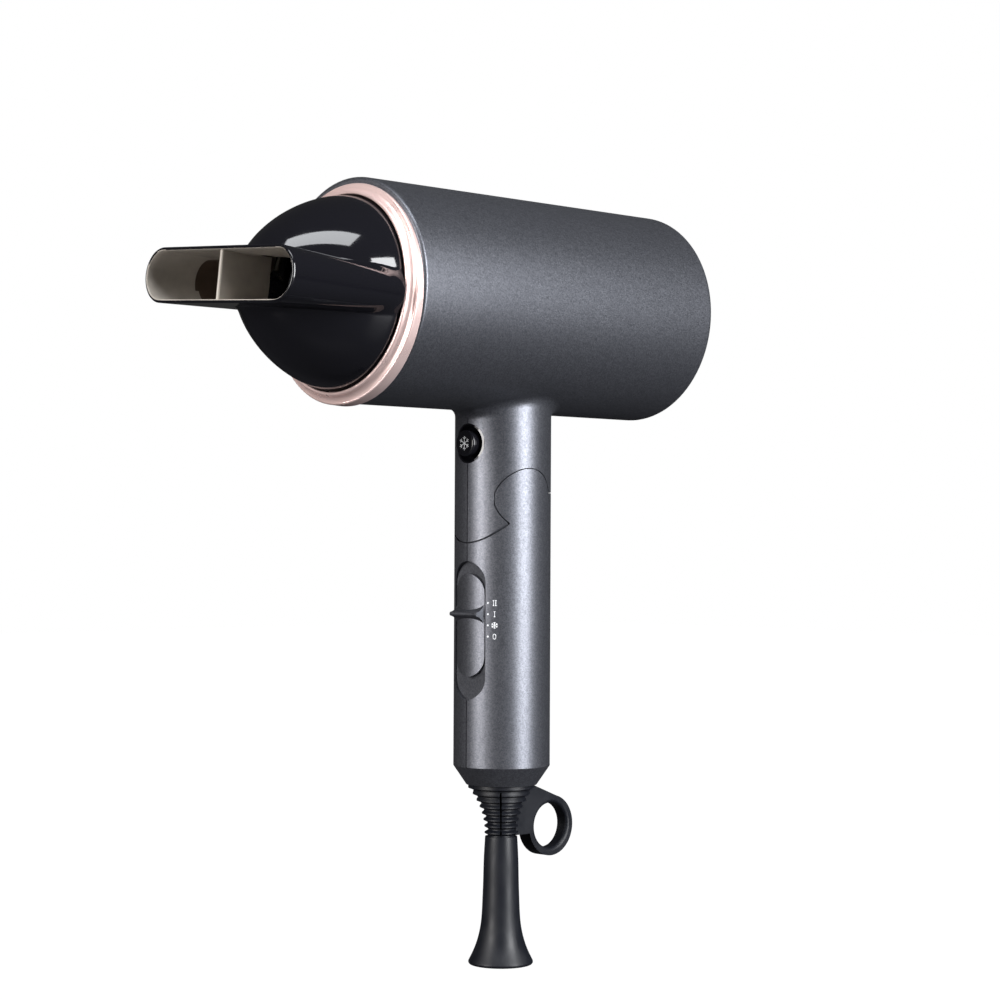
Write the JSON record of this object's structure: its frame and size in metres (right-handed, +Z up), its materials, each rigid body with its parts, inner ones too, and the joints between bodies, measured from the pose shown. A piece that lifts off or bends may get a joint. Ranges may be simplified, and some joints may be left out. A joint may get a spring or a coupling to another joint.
{
  "type": "hair dryer",
  "caption": "Folding hair dryer: a cylindrical barrel with a flat slot nozzle on a round handle with a slide switch, a cool-shot button and a hanging loop.",
  "frame": {"origin": "centre of the cord bore's mouth in the foot of the cord sleeve, on the handle's axis", "axes": "+Z up along the handle, -Y the way the nozzle blows, +X to the side with the switch marks"},
  "size_m": [0.0831, 0.2071, 0.2854],
  "materials": {
    "grey_paint": "fine metallic space-grey paint on moulded plastic, satin",
    "rose_gold": "electroplated rose gold on moulded plastic",
    "gloss_black": "high-gloss black",
    "black_rubber": "satin moulded rubber",
    "black_plastic": "fine-grained heat-resistant plastic",
    "steel": "bright drawn steel",
    "brass": "plain",
    "board_green": "fibreglass circuit board",
    "mica": "pressed mica sheet"
  },
  "bodies": {
    "handle": {"handle_left": "grey_paint", "handle_right": "grey_paint", "handle_screws": "steel", "hinge_pin": "steel", "control_board": "board_green", "slide_switch": "black_plastic", "cord_clamp": "black_plastic", "cord_guard": "black_rubber", "bell_sleeve": "black_rubber"},
    "switch": {"switch_knob": "grey_paint", "switch_carrier": "black_plastic"},
    "housing": {"housing_left": "grey_paint", "housing_right": "grey_paint", "trim_ring": "rose_gold", "outlet_collar": "black_plastic", "outlet_grille": "black_plastic", "heater_tube": "mica", "heater_boards": "mica", "heater_coils": "steel", "thermostat": "brass", "thermal_fuse": "steel", "fan_duct": "black_plastic", "motor_damper": "black_rubber", "motor_can": "steel", "motor_bushes": "brass", "cool_bezel": "gloss_black", "cool_switch": "black_plastic", "cool_spring": "steel", "neck_screw": "steel"},
    "cool_button": {"cool_button": "gloss_black"},
    "fan": {"impeller": "black_plastic", "motor_shaft": "steel", "armature": "steel"},
    "rear_cover": {"rear_cover": "black_plastic", "inlet_filter": "steel"},
    "snap_ring": {"nozzle_snap_ring": "black_plastic"},
    "nozzle": {"nozzle": "gloss_black"}
  },
  "joints": [
    {"name": "fold", "type": "hinge", "parent": "handle", "child": "housing", "pos_m": [0, -0.0031, 0.1726], "axis": [1, 0, 0], "range_deg": [0, 90]},
    {"name": "speed_switch", "type": "slide", "parent": "handle", "child": "switch", "axis": [0, 0, 1], "range_m": [-0.0082, 0.0041]},
    {"name": "cool_press", "type": "slide", "parent": "housing", "child": "cool_button", "axis": [0, 1, 0], "range_m": [0, 0.0015], "stiffness_N_per_m": 800, "springref_m": -0.002, "deforming": ["cool_spring"]},
    {"name": "fan_spin", "type": "hinge", "parent": "housing", "child": "fan", "pos_m": [0, 0.05, 0.2454], "axis": [0, 1, 0], "continuous": true},
    {"name": "cover_pull", "type": "slide", "parent": "housing", "child": "rear_cover", "axis": [0, 1, 0], "range_m": [0, 0.012]},
    {"name": "nozzle_pull", "type": "slide", "parent": "housing", "child": "snap_ring", "axis": [0, -0.9984, 0.0558], "range_m": [0, 0.018]},
    {"name": "nozzle_turn", "type": "hinge", "parent": "snap_ring", "child": "nozzle", "pos_m": [0, -0.0785, 0.2439], "axis": [0, 0.9984, -0.0558], "continuous": true}
  ]
}
